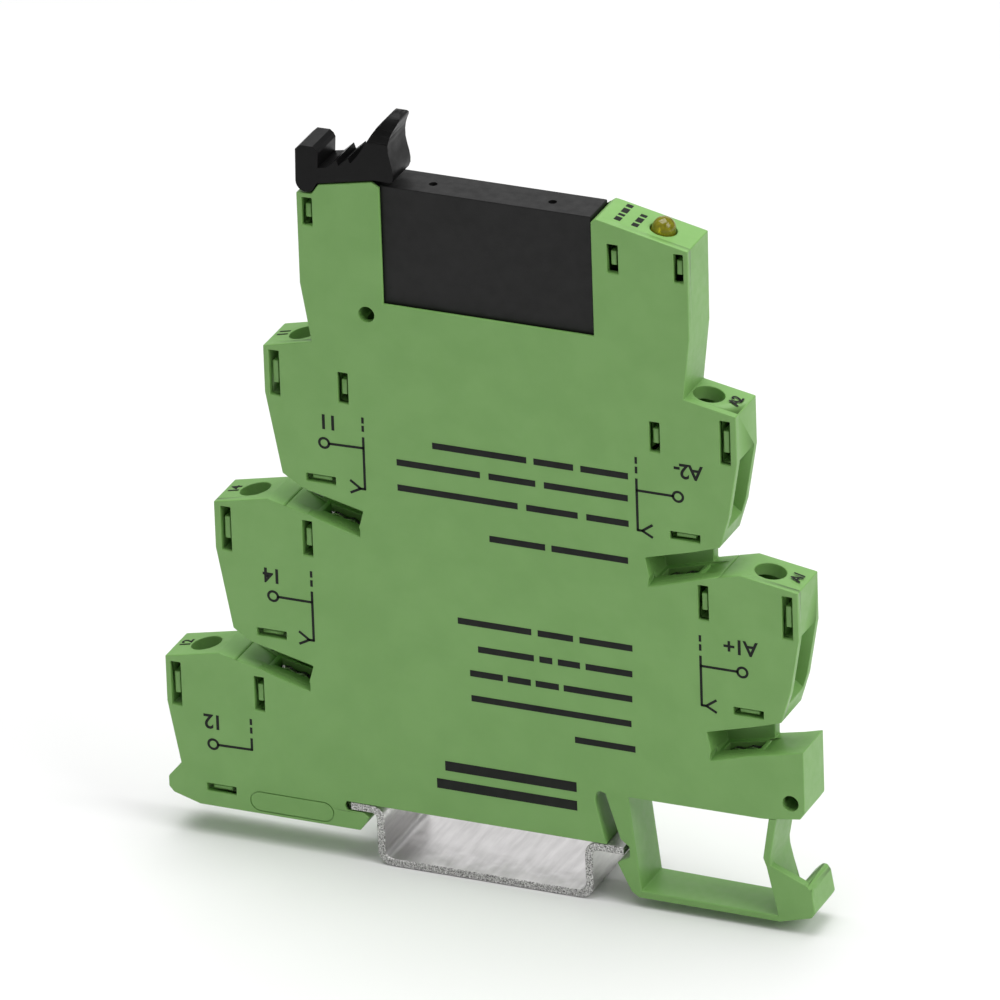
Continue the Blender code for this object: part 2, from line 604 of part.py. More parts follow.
def relay_case(look):
    case = add("relay_case", boxes([((RELAY_LEFT, RELAY_RIGHT), (-RELAY_HALF, RELAY_HALF),
                                     (RELAY_FOOT, RELAY_TOP))]), look)
    inside = ((RELAY_LEFT + 2.1, RELAY_RIGHT - 0.6), (-RELAY_HALF + 0.45, RELAY_HALF - 0.45),
              (RELAY_FOOT - 1, RELAY_TOP - 0.6))
    low_inside = ((RELAY_LEFT + 0.6, RELAY_LEFT + 2.5), (-RELAY_HALF + 0.45, RELAY_HALF - 0.45),
                  (RELAY_FOOT - 1, 73.6))
    cut(case, boxes([inside]), "inside")
    cut(case, boxes([low_inside]), "low_inside")
    cut(case, boxes([((RELAY_LEFT - 1, RELAY_LEFT + 1.55), (-1.3, 1.3), (74.6, 76.4))]), "lift_notch")
    return case


def relay_base(look):
    base = add("relay_base", boxes([((RELAY_LEFT + 0.7, RELAY_RIGHT - 0.7), (-1.95, 1.95),
                                     (RELAY_FOOT, RELAY_FOOT + 1.2))]), look)
    pins = [((x - 0.55, x + 0.55), (-0.35, 0.35), (RELAY_FOOT - 1, RELAY_FOOT + 2))
            for x in PIN_X.values()]
    cut(base, boxes(pins), "pin_holes")
    return base


def coil(looks):
    """Bobbin, winding, iron core and yoke, lying along X above the relay's base."""
    z = 71.0
    tube = rectangle((0, z), 2.4, 4.4)
    window = rectangle((0, z), 1.7, 3.7)
    flange = rectangle((0, z), 3.9, 7.6)
    bobbin = add("coil_bobbin", extruded([tube], -0.5, 12.9, along="X"), looks["bobbin"])
    join(bobbin, extruded([flange], -0.8, -0.2, along="X"), "left_flange")
    join(bobbin, extruded([flange], 12.6, 13.2, along="X"), "right_flange")
    cut(bobbin, extruded([window], -2.0, 14.0, along="X"), "core_hole")
    hole = rectangle((0, z), 2.6, 4.6)
    winding = [(-1.3, z - 3.4), (1.3, z - 3.4), (1.85, z - 2.7), (1.85, z + 2.7), (1.3, z + 3.4),
               (-1.3, z + 3.4), (-1.85, z + 2.7), (-1.85, z - 2.7)]
    add("coil_winding", extruded([winding, hole], -0.05, 12.45, along="X"), looks["copper_wire"])
    add("iron_core", boxes([((-1.0, 13.35), (-0.75, 0.75), (z - 1.75, z + 1.75))]), looks["iron"])
    yoke = [(-1.2, 65.95), (14.3, 65.95), (14.3, 74.0), (13.5, 74.0), (13.5, 66.85), (-1.2, 66.85)]
    add("yoke", extruded([yoke], -1.7, 1.7), looks["iron"])


def relay_works(looks):
    """Armature, actuator card, moving spring and the contacts it moves between."""
    x, z = ARMATURE_PIVOT
    armature = add("armature", extruded([[(x - 0.4, z - 0.9), (x + 0.35, z - 0.9), (x + 0.35, 77.4),
                                          (x - 0.4, 77.4)]], -1.5, 1.5), looks["iron"])
    move_origin(armature, ARMATURE_PIVOT)
    root_x, root_z = SPRING_ROOT
    spring = add("contact_spring", extruded([[(root_x - 0.15, root_z), (root_x + 0.15, root_z),
                                             (root_x + 0.15, 77.4), (root_x - 0.15, 77.4)]], -1.3, 1.3),
                 looks["bronze"])
    join(spring, rod((root_x - 0.6, 0, 74.4), (root_x + 0.6, 0, 74.4), 0.8, 14), "contact")
    move_origin(spring, SPRING_ROOT)
    card_left = root_x - 0.9
    card_right = x + 1.1
    plate = boxes([((card_left, card_right), (-1.9, 1.9), (CARD_HEIGHT - 0.4, CARD_HEIGHT + 0.4))])
    card = add("actuator_card", plate, looks["bobbin"])
    slots = [((root_x - 0.25, root_x + 0.25), (-1.45, 1.45), (CARD_HEIGHT - 1, CARD_HEIGHT + 1)),
             ((x - 0.55, x + 0.5), (-1.65, 1.65), (CARD_HEIGHT - 1, CARD_HEIGHT + 1))]
    cut(card, boxes(slots), "slots")
    closed = [((-8.95, -8.35), (-1.3, 1.3), (65.5, 75.6)), ((-11.95, -8.65), (-1.3, 1.3), (65.5, 66.1))]
    opened = [((-5.15, -4.55), (-1.3, 1.3), (65.5, 75.4)), ((-4.85, -0.97), (-0.45, 0.45), (65.45, 65.95))]
    fixed_contact("contact_normally_closed", PIN_X["normally_closed"], closed, (-8.4, -7.45), looks)
    fixed_contact("contact_normally_open", PIN_X["normally_open"], opened, (-5.1, -5.6), looks)
    common = PIN_X["common"]
    terminal = add("common_terminal", pin_box(common, 65.9), looks["tin"])
    join(terminal, boxes([((root_x - 0.6, common + 0.6), (-1.3, 1.3), (65.45, 66.3))]), "spring_seat")
    add("coil_pin_plus", pin_box(PIN_X["coil_plus"], 65.8), looks["tin"])
    add("coil_pin_minus", pin_box(PIN_X["coil_minus"], 65.8), looks["tin"])


def pin_box(x, top):
    return boxes([((x - 0.45, x + 0.45), (-0.25, 0.25), (PIN_END, top))])


def fixed_contact(name, pin_x, blades, rivet, looks):
    """A contact blade inside the relay, with its rivet and the pin it ends in."""
    contact = add(name, pin_box(pin_x, 65.8), looks["brass"])
    for number, blade in enumerate(blades):
        join(contact, boxes([blade]), f"blade_{number}")
    join(contact, rod((rivet[0], 0, 74.4), (rivet[1], 0, 74.4), 0.8, 14), "rivet")


# ---------------------------------------------------------------- assembly

def looks_table():
    return {
        "green": material("green_plastic", (0.20, 0.38, 0.10), 0.45),
        "lever": material("black_plastic", (0.018, 0.018, 0.018), 0.45),
        "relay": material("relay_black", (0.028, 0.028, 0.028), 0.5),
        "tin": material("tinned_copper", (0.72, 0.72, 0.70), 0.3, 1.0),
        "steel": material("zinc_steel", (0.62, 0.62, 0.60), 0.35, 1.0),
        "bronze": material("spring_bronze", (0.72, 0.55, 0.36), 0.3, 1.0),
        "brass": material("brass", (0.75, 0.60, 0.30), 0.3, 1.0),
        "iron": material("soft_iron", (0.45, 0.45, 0.45), 0.4, 1.0),
        "copper_wire": material("enamelled_copper", (0.55, 0.20, 0.08), 0.3, 0.8),
        "bobbin": material("bobbin_nylon", (0.75, 0.73, 0.66), 0.5),
        "board": material("board_laminate", (0.05, 0.16, 0.07), 0.5),
        "resin": material("black_resin", (0.03, 0.03, 0.03), 0.5),
        "resistor": material("resistor_film", (0.35, 0.48, 0.60), 0.5),
        "lamp": material("amber_resin", (0.55, 0.42, 0.03), 0.15),
    }


def main():
    clear_scene()
    looks = looks_table()
    housing_base(looks["green"])
    housing_cover(looks["green"])
    rail_release_foot(looks["green"])
    ejector_lever(looks["lever"])
    lever_pivot_pin(looks["steel"])
    for name, (side, tier) in TERMINALS.items():
        terminal_screw(f"terminal_screw_{name}", side, tier, looks["steel"])
        clamp_sleeve(f"clamp_sleeve_{name}", side, tier, looks["steel"])
        socket_contact(f"socket_contact_{name}", PIN_X[name], looks["bronze"])
    busbars(looks["tin"])
    circuit_board(looks)
    status_led(looks)
    relay_case(looks["relay"])
    relay_base(looks["relay"])
    coil(looks)
    relay_works(looks)


main()
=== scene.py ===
"""Looks for a slim plug-in relay module on a DIN rail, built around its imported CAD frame."""

import json
import math

import bmesh
import bpy
from mathutils import Matrix, Vector


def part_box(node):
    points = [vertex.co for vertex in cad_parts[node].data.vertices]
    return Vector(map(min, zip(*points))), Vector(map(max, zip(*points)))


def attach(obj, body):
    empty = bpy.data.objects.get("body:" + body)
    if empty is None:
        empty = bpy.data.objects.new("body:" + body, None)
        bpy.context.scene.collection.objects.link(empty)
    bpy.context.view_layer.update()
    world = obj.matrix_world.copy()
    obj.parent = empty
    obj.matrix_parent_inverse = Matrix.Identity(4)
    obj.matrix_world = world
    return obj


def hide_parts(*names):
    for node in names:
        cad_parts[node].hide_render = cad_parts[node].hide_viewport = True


MM = 0.001

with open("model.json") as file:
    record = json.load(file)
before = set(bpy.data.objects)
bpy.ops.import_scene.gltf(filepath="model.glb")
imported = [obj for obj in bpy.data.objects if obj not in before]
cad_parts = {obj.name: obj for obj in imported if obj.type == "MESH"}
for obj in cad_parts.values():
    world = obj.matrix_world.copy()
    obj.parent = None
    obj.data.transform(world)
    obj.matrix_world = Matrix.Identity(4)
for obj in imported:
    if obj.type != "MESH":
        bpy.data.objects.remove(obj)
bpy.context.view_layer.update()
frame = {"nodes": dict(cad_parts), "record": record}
NODES = frame["nodes"]
WELD = 0.002                    # points nearer than this (mm) become one
FLAT = math.radians(1.0)        # faces that meet at less than this are one flat face

# ---------------------------------------------------------------- materials


def srgb(red, green, blue):
    """A linear colour from 8-bit sRGB numbers."""
    linear = []
    for value in (red, green, blue):
        part = value / 255
        linear.append(part / 12.92 if part <= 0.04045 else ((part + 0.055) / 1.055) ** 2.4)
    return (*linear, 1.0)


def plastic(name, dark, light, rough=(0.38, 0.52), grain=14000, grain_depth=0.006, specular=0.5):
    """A moulded plastic: faint colour drift, a fine spark-eroded grain and uneven gloss."""
    mat, links, nodes, shader, place = start_material(name)
    drift = noise(nodes, links, place, 220, 3)
    mix = ramp(nodes, links, drift, (0.35, dark), (0.65, light))
    links.new(mix, shader.inputs["Base Color"])
    patch = noise(nodes, links, place, 900, 4)
    gloss = ramp(nodes, links, patch, (0.3, grey(rough[0])), (0.7, grey(rough[1])))
    links.new(gloss, shader.inputs["Roughness"])
    bump(nodes, links, shader, noise(nodes, links, place, grain, 2), grain_depth)
    shader.inputs["IOR"].default_value = 1.5
    shader.inputs["Specular IOR Level"].default_value = specular
    return mat


def metal(name, dark, light, rough=(0.22, 0.38), stretch=(1, 1, 1), grain=6000, depth=0.004):
    """A plated or rolled metal: streaks along one direction and uneven gloss."""
    mat, links, nodes, shader, place = start_material(name)
    mapping = nodes.new("ShaderNodeMapping")
    mapping.inputs["Scale"].default_value = stretch
    links.new(place, mapping.inputs["Vector"])
    streak = noise(nodes, links, mapping.outputs["Vector"], grain, 3)
    links.new(ramp(nodes, links, streak, (0.3, dark), (0.7, light)), shader.inputs["Base Color"])
    patch = noise(nodes, links, place, 700, 4)
    gloss = ramp(nodes, links, patch, (0.3, grey(rough[0])), (0.7, grey(rough[1])))
    links.new(gloss, shader.inputs["Roughness"])
    bump(nodes, links, shader, streak, depth)
    shader.inputs["Metallic"].default_value = 1.0
    return mat


def start_material(name):
    mat = bpy.data.materials.new(name)
    mat.use_nodes = True
    nodes = mat.node_tree.nodes
    links = mat.node_tree.links
    shader = nodes["Principled BSDF"]
    place = nodes.new("ShaderNodeTexCoord").outputs["Object"]
    return mat, links, nodes, shader, place


def grey(value):
    return (value, value, value, 1.0)


def noise(nodes, links, place, scale, detail):
    node = nodes.new("ShaderNodeTexNoise")
    node.inputs["Scale"].default_value = scale
    node.inputs["Detail"].default_value = detail
    links.new(place, node.inputs["Vector"])
    return node.outputs["Fac"]


def ramp(nodes, links, factor, low, high):
    node = nodes.new("ShaderNodeValToRGB")
    first, last = node.color_ramp.elements
    first.position, first.color = low
    last.position, last.color = high
    links.new(factor, node.inputs["Fac"])
    return node.outputs["Color"]


def bump(nodes, links, shader, height, depth):
    node = nodes.new("ShaderNodeBump")
    node.inputs["Strength"].default_value = 1.0
    node.inputs["Distance"].default_value = depth * MM
    links.new(height, node.inputs["Height"])
    links.new(node.outputs["Normal"], shader.inputs["Normal"])


LOOKS = {
    "green_plastic": plastic("green_polyamide", srgb(116, 163, 87), srgb(121, 168, 92)),
    "black_plastic": plastic("black_polyamide", srgb(9, 9, 9), srgb(13, 13, 13), (0.34, 0.46), specular=0.16),
    "relay_black": plastic("relay_moulding", srgb(20, 20, 20), srgb(25, 25, 25), (0.42, 0.55),
                           grain=9000, grain_depth=0.012, specular=0.26),
    "steel": metal("zinc_plated_steel", srgb(178, 178, 176), srgb(214, 213, 208), (0.25, 0.4)),
    "tinned_copper": metal("tin_plate", srgb(186, 186, 183), srgb(222, 221, 217), (0.18, 0.34)),
    "spring_bronze": metal("spring_bronze", srgb(196, 162, 112), srgb(222, 190, 140), (0.2, 0.35)),
    "brass": metal("brass", srgb(199, 164, 92), srgb(225, 192, 120), (0.2, 0.35)),
    "soft_iron": metal("nickel_plated_iron", srgb(150, 150, 148), srgb(182, 181, 178), (0.3, 0.45)),
    "copper_wire": metal("enamelled_wire", srgb(158, 84, 42), srgb(196, 112, 60), (0.25, 0.4),
                         stretch=(12, 0.6, 0.6), grain=900, depth=0.03),
    "nylon": plastic("natural_nylon", srgb(218, 213, 200), srgb(228, 224, 212), (0.4, 0.5)),
    "board_laminate": plastic("board_laminate", srgb(34, 88, 52), srgb(44, 104, 62), (0.3, 0.4)),
    "black_resin": plastic("black_resin", srgb(30, 30, 31), srgb(38, 38, 39), (0.4, 0.55)),
    "resistor_film": plastic("resistor_lacquer", srgb(112, 152, 182), srgb(124, 164, 192), (0.2, 0.3)),
    "print": plastic("print_ink", srgb(14, 18, 13), srgb(20, 24, 18), (0.5, 0.65), grain=9000, specular=0.25),
}


def lamp_look():
    """Clear amber resin with a slightly cloudy middle."""
    mat, links, nodes, shader, place = start_material("amber_resin")
    cloud = noise(nodes, links, place, 1500, 3)
    colour = ramp(nodes, links, cloud, (0.3, srgb(142, 138, 10)), (0.75, srgb(180, 174, 32)))
    links.new(colour, shader.inputs["Base Color"])
    bump(nodes, links, shader, noise(nodes, links, place, 2500, 2), 0.003)
    shader.inputs["Roughness"].default_value = 0.08
    shader.inputs["IOR"].default_value = 1.5
    shader.inputs["Transmission Weight"].default_value = 0.55
    return mat


LOOKS["amber_lamp"] = lamp_look()

for entry in frame["record"]["subparts"]:
    cad = NODES[entry["node"]]
    cad.data.materials.clear()
    cad.data.materials.append(LOOKS[entry["material_slot"]])

# ---------------------------------------------------------------- building tools


def link(made):
    bpy.context.scene.collection.objects.link(made)


def place_piece(name, shape, body, slot, look=None):
    """Turn a bmesh in metres into a named piece that rides on a body."""
    bmesh.ops.recalc_face_normals(shape, faces=shape.faces)
    mesh = bpy.data.meshes.new(name)
    shape.to_mesh(mesh)
    shape.free()
    mesh.materials.append(LOOKS[look or slot])
    piece = bpy.data.objects.new(name, mesh)
    link(piece)
    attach(piece, body)
    return piece


def smooth_by_angle(piece, degrees=30):
    piece.data.polygons.foreach_set("use_smooth", [True] * len(piece.data.polygons))
    limit = math.radians(degrees)
    shape = bmesh.new()
    shape.from_mesh(piece.data)
    for edge in shape.edges:
        flat = len(edge.link_faces) != 2 or edge.calc_face_angle(0.0) > limit
        edge.smooth = not flat
    shape.to_mesh(piece.data)
    shape.free()


def within(vert, box):
    return all(low < value / MM < high for value, (low, high) in zip(vert.co, box))


def soften(piece, width, segments=2, shortest=0.5, degrees=25, sharp_boxes=(), clamp=False):
    """Round the long sharp edges of a piece by width (mm), except inside boxes in mm."""
    mesh = piece.data
    shape = bmesh.new()
    shape.from_mesh(mesh)
    weights = shape.edges.layers.float.get("bevel_weight_edge")
    if weights is None:
        weights = shape.edges.layers.float.new("bevel_weight_edge")
    for edge in shape.edges:
        sharp = len(edge.link_faces) == 2 and edge.calc_face_angle(0.0) > math.radians(degrees)
        kept = any(all(within(vert, box) for vert in edge.verts) for box in sharp_boxes)
        rounded = sharp and not kept and edge.calc_length() > shortest * MM
        edge[weights] = 1.0 if rounded else 0.0
        edge.smooth = rounded or not sharp
    shape.to_mesh(mesh)
    shape.free()
    mesh.polygons.foreach_set("use_smooth", [True] * len(mesh.polygons))
    step = piece.modifiers.new("edges", "BEVEL")
    step.limit_method = "WEIGHT"
    step.width = width * MM
    step.segments = segments
    step.use_clamp_overlap = clamp
    even = piece.modifiers.new("flats", "WEIGHTED_NORMAL")
    even.mode = "FACE_AREA"
    even.weight = 100
    even.keep_sharp = True


def cad_shape(node):
    """The CAD node's mesh as a bmesh with its flat faces whole again."""
    shape = bmesh.new()
    shape.from_mesh(NODES[node].data)
    bmesh.ops.remove_doubles(shape, verts=shape.verts, dist=WELD * MM)
    bmesh.ops.dissolve_limit(shape, angle_limit=FLAT, verts=shape.verts, edges=shape.edges)
    return shape


def carve(shape, cutters):
    """The shape with every cutter (bmesh) cut away."""
    holder = holder_object("carved", shape)
    tools = []
    for cutter in cutters:
        bmesh.ops.recalc_face_normals(cutter, faces=cutter.faces)
        tool = holder_object("cutter", cutter)
        step = holder.modifiers.new("cut", "BOOLEAN")
        step.operation = "DIFFERENCE"
        step.solver = "EXACT"
        step.object = tool
        tools.append(tool)
    graph = bpy.context.evaluated_depsgraph_get()
    result = bmesh.new()
    done = bpy.data.meshes.new_from_object(holder.evaluated_get(graph))
    result.from_mesh(done)
    bpy.data.meshes.remove(done)
    for made in tools + [holder]:
        mesh = made.data
        bpy.data.objects.remove(made)
        bpy.data.meshes.remove(mesh)
    bmesh.ops.remove_doubles(result, verts=result.verts, dist=WELD * MM)
    bmesh.ops.dissolve_limit(result, angle_limit=FLAT, verts=result.verts, edges=result.edges)
    return result


def holder_object(name, shape):
    mesh = bpy.data.meshes.new(name)
    shape.to_mesh(mesh)
    shape.free()
    made = bpy.data.objects.new(name, mesh)
    link(made)
    return made


def walls(shape, near, far):
    """The faces that join two rings of as many points, in the rings' order."""
    made = []
    for index in range(len(near)):
        follow = (index + 1) % len(near)
        made.append(shape.faces.new((near[follow], near[index], far[index], far[follow])))
    return made


def closed(shape, near, far):
    """Two rings made into a closed solid."""
    shape.faces.new(near)
    shape.faces.new(list(reversed(far)))
    walls(shape, near, far)


def prism(points, low, high):
    """An outline in (x, z) between two places along Y (mm)."""
    shape = bmesh.new()
    add_prism(shape, points, low, high)
    return shape


def add_prism(shape, points, low, high):
    near, far = ([shape.verts.new((x * MM, depth * MM, z * MM)) for x, z in points]
                 for depth in (low, high))
    closed(shape, near, far)


def lathe(profile, middle, axis, sides=48):
    """A turned shape: profile is (radius, height) from the top of the axis down (mm)."""
    shape = bmesh.new()
    turn = Vector((0, 0, 1)).rotation_difference(Vector(axis).normalized()).to_matrix().to_4x4()
    frame_at = Matrix.Translation(Vector(middle) * MM) @ turn
    rings = []
    for radius, height in profile:
        if radius < 1e-6:
            rings.append([shape.verts.new(frame_at @ Vector((0, 0, height * MM)))])
            continue
        ring = []
        for index in range(sides):
            angle = math.tau * index / sides
            ring.append(shape.verts.new(frame_at @ (Vector((radius * math.cos(angle),
                                                            radius * math.sin(angle), height)) * MM)))
        rings.append(ring)
    for upper, lower in zip(rings, rings[1:]):
        for index in range(sides):
            follow = (index + 1) % sides
            if len(upper) == 1:
                shape.faces.new((upper[0], lower[index], lower[follow]))
            elif len(lower) == 1:
                shape.faces.new((upper[index], lower[0], upper[follow]))
            else:
                shape.faces.new((upper[index], lower[index], lower[follow], upper[follow]))
    return shape


def finer(node, body, slot, width, shortest=0.5, change=None, cutters=(), sharp_boxes=(), clamp=False):
    """A finer-looking piece in place of a CAD node, with softened edges."""
    shape = cad_shape(node)
    if cutters:
        shape = carve(shape, cutters)
    if change:
        change(shape)
    piece = place_piece(f"{node}_moulding", shape, body, slot)
    soften(piece, width, shortest=shortest, sharp_boxes=sharp_boxes, clamp=clamp)
    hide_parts(node)
    return piece


# ---------------------------------------------------------------- camera, floor and lights

# The camera looks at the module from the photograph's angle; lengths are in mm
AZIMUTH = math.radians(23.756)
ELEVATION = math.radians(26.065)
ROLL = math.radians(-1.987)
DISTANCE = 1709.7
AIM_RIGHT = 0.289
AIM_UP = 36.16
AIM_DROP = 0.15
LENS = 535.0
FLOOR_HEIGHT = -7.5             # the underside of the rail


def camera():
    forward = Vector((-math.sin(AZIMUTH) * math.cos(ELEVATION), math.cos(AZIMUTH) * math.cos(ELEVATION),
                      -math.sin(ELEVATION)))
    level = Vector((math.cos(AZIMUTH), math.sin(AZIMUTH), 0.0))
    upright = level.cross(forward)
    right = level * math.cos(ROLL) + upright * math.sin(ROLL)
    up = upright * math.cos(ROLL) - level * math.sin(ROLL)
    aim = right * AIM_RIGHT + up * AIM_UP - Vector((0, 0, AIM_DROP))
    data = bpy.data.cameras.new("camera")
    data.sensor_width = 36.0
    data.lens = LENS
    data.clip_start = 0.05
    data.clip_end = 20.0
    eye = bpy.data.objects.new("camera", data)
    turn = Matrix((right, up, -forward)).transposed().to_4x4()
    eye.matrix_world = Matrix.Translation((aim - forward * DISTANCE) * MM) @ turn
    link(eye)
    bpy.context.scene.camera = eye


def floor(height):
    shape = bmesh.new()
    bmesh.ops.create_grid(shape, x_segments=2, y_segments=2, size=6.0)
    mesh = bpy.data.meshes.new("floor")
    shape.to_mesh(mesh)
    shape.free()
    mat, links, nodes, shader, place = start_material("pale_floor")
    patch = noise(nodes, links, place, 3, 2)
    links.new(ramp(nodes, links, patch, (0.3, srgb(236, 236, 236)), (0.7, srgb(239, 239, 239))),
              shader.inputs["Base Color"])
    shader.inputs["Roughness"].default_value = 0.9
    mesh.materials.append(mat)
    plane = bpy.data.objects.new("floor", mesh)
    plane.location.z = height
    link(plane)


def softbox(name, place, target, size, watts):
    data = bpy.data.lights.new(name, "AREA")
    data.shape = "RECTANGLE"
    data.size, data.size_y = size
    data.energy = watts
    lamp = bpy.data.objects.new(name, data)
    lamp.location = place
    lamp.rotation_euler = (Vector(target) - Vector(place)).to_track_quat("-Z", "Y").to_euler()
    link(lamp)


def surroundings():
    world = bpy.data.worlds.new("studio")
    world.use_nodes = True
    world.node_tree.nodes["Background"].inputs["Color"].default_value = (1.0, 1.0, 1.0, 1.0)
    world.node_tree.nodes["Background"].inputs["Strength"].default_value = 0.28
    bpy.context.scene.world = world
    bpy.context.scene.view_settings.view_transform = "Standard"
    middle = (0.0, 0.0, 0.04)
    softbox("overhead", (-0.05, 0.05, 0.8), middle, (0.7, 0.7), 6.1)
    softbox("right_side", (0.62, -0.1, 0.55), middle, (0.5, 0.5), 3.0)
    softbox("behind", (-0.25, 0.9, 0.4), middle, (0.7, 0.4), 0.75)
    softbox("front", (-0.35, -0.9, 0.45), middle, (0.6, 0.5), 0.15)


# ---------------------------------------------------------------- places on the housing

TILT = math.radians(12.5)
LEFT_STEP = (-7.03, -20.93)
RIGHT_STEP = (7.0, -21.0)
LEFT_FLOOR = ((-26.0, 37.55), (-14.9, 34.9))
RIGHT_FLOOR = ((32.2, 37.25), (21.4, 34.5))
PRINT_BACK = -3.07
PRINT_FRONT = -3.1
PRINTED_FACE = -3.085
COVER_INSIDE = -2.3
SEAM_BACK = -2.204              # the cover's inner side reaches the base here
BACK_FACE = 3.1
CLEAR_FRONT = -3.5              # cutters start in front of the cover
CHAMFER_BACK = -1.45
TOWER_TOP = ((16.5, 79.1), (27.0, 76.8))
TOWER_SLOPE = math.atan2(TOWER_TOP[0][1] - TOWER_TOP[1][1], TOWER_TOP[1][0] - TOWER_TOP[0][0])
LAMP_PLACE = (22.9, 0, 77.7)


def floor_height(side, x):
    """How high the sloping floor of the upper jumper slot lies at x."""
    (x0, z0), (x1, z1) = LEFT_FLOOR if side < 0 else RIGHT_FLOOR
    return z0 + (x - x0) * (z1 - z0) / (x1 - x0)


def jumper_shift(side, tier):
    step = LEFT_STEP if side < 0 else RIGHT_STEP
    return step[0] * tier, step[1] * tier


def floor_prism(side, tier, start, end, sink_start, sink_end, low, high):
    """A cutter along a slot's floor, from start to end, sinking from one depth to another."""
    dx, dz = jumper_shift(side, tier)
    points = [(start + dx, floor_height(side, start) - sink_start + dz),
              (end + dx, floor_height(side, end) - sink_end + dz),
              (end + dx, floor_height(side, end) + 0.9 + dz),
              (start + dx, floor_height(side, start) + 0.9 + dz)]
    if side > 0:
        points.reverse()
    return prism(points, low, high)


# From a slot's mouth inwards: the fine groove, the dished ramp, and the chamfer before the hole
SLOT_MARKS = {-1: {"groove": (-23.95, -23.75), "dish": (-23.3, -20.4), "chamfer": (-21.0, -14.6)},
              1: {"groove": (29.85, 29.65), "dish": (29.2, 26.8), "chamfer": (27.4, 21.0)}}


def chamfer_cutter(side, tier):
    """A wedge off the front edge of a slot's floor, deeper towards the slot's end."""
    dx, dz = jumper_shift(side, tier)
    shape = bmesh.new()
    rings = []
    for x, drop in zip(SLOT_MARKS[side]["chamfer"], (0.1, 0.42)):
        z = floor_height(side, x)
        corners = ((CLEAR_FRONT, z - drop * 1.2), (CHAMFER_BACK, z + 0.02),
                   (CHAMFER_BACK, z + 0.7), (CLEAR_FRONT, z + 0.7))
        rings.append([shape.verts.new(((x + dx) * MM, y * MM, (height + dz) * MM)) for y, height in corners])
    closed(shape, *rings)
    return shape


def slot_cutters(side, tier):
    marks = SLOT_MARKS[side]
    return [chamfer_cutter(side, tier),
            floor_prism(side, tier, *marks["groove"], 0.14, 0.14, -4.0, 4.0),
            floor_prism(side, tier, *marks["dish"], 0.0, 0.55, -1.35, 1.55)]


JUMPER_SLOTS = [(-1, 0), (-1, 1), (1, 0), (1, 1)]


# ---------------------------------------------------------------- moulded pieces

def inked_face(shape):
    """Lower the printed side a hair, so that the ink stands proud of it."""
    for vert in shape.verts:
        if vert.co.y < (PRINT_FRONT + 0.005) * MM:
            vert.co.y = PRINTED_FACE * MM


def cover_shape(shape):
    """Lower the printed side, and bring the inner side up to the base so that the seam closes."""
    inked_face(shape)
    for vert in shape.verts:
        if abs(vert.co.y - COVER_INSIDE * MM) < 0.02 * MM:
            vert.co.y = SEAM_BACK * MM


def base_shape(shape):
    """Bring the walls behind the jumper slots flush with the back."""
    for vert in shape.verts:
        if vert.co.y > (BACK_FACE - 0.06) * MM:
            vert.co.y = BACK_FACE * MM
    bmesh.ops.remove_doubles(shape, verts=shape.verts, dist=2 * WELD * MM)
    bmesh.ops.dissolve_degenerate(shape, edges=shape.edges, dist=WELD * MM)
    bmesh.ops.dissolve_limit(shape, angle_limit=FLAT, verts=shape.verts, edges=shape.edges)


FOOT_JOIN = ((14.5, 36.6), (-4.0, 4.0), (6.0, 7.2))
LEG_TOPS = 5.0                  # only the tops of the foot's legs are higher than this
# The housing's underside over each leg: start along X, height there and rise per mm
LEFT_UNDERSIDE = (14.75, 6.6, 0.005)
RIGHT_UNDERSIDE = (34.9, 6.7, 0.15)
SEAM = ((-50.0, 50.0), (-2.35, -2.15), (-10.0, 90.0))


def foot_shape(shape):
    """Let the foot's two legs reach the housing, as they are moulded in one with it."""
    inked_face(shape)
    for vert in shape.verts:
        if vert.co.z > LEG_TOPS * MM:
            across = vert.co.x / MM
            start, height, rise = LEFT_UNDERSIDE if across < RIGHT_UNDERSIDE[0] else RIGHT_UNDERSIDE
            vert.co.z = (height + rise * (across - start) - 0.005) * MM


PLATE_ENDS = (-28.5, -20.5)
PLATE_MIDDLE = -1.85
PLATE_RADIUS = 1.3
PLATE_BOX = ((-30.5, -18.5), (-3.2, -2.9), (-3.38, -0.4))


def plate_recess():
    """The fine rounded outline that is moulded low on the cover."""
    shape = bmesh.new()
    loops = []
    for radius in (PLATE_RADIUS, PLATE_RADIUS - 0.15):
        for depth in (-3.6, PRINTED_FACE + 0.12):
            loop = []
            for middle, start in ((PLATE_ENDS[1], -90), (PLATE_ENDS[0], 90)):
                for step in range(13):
                    angle = math.radians(start + 15 * step)
                    loop.append(shape.verts.new(((middle + radius * math.cos(angle)) * MM, depth * MM,
                                                 (PLATE_MIDDLE + radius * math.sin(angle)) * MM)))
            loops.append(loop)
    near, deep, inner_near, inner_deep = loops
    for one, other in ((near, deep), (deep, inner_deep), (inner_deep, inner_near), (inner_near, near)):
        walls(shape, other, one)
    return shape


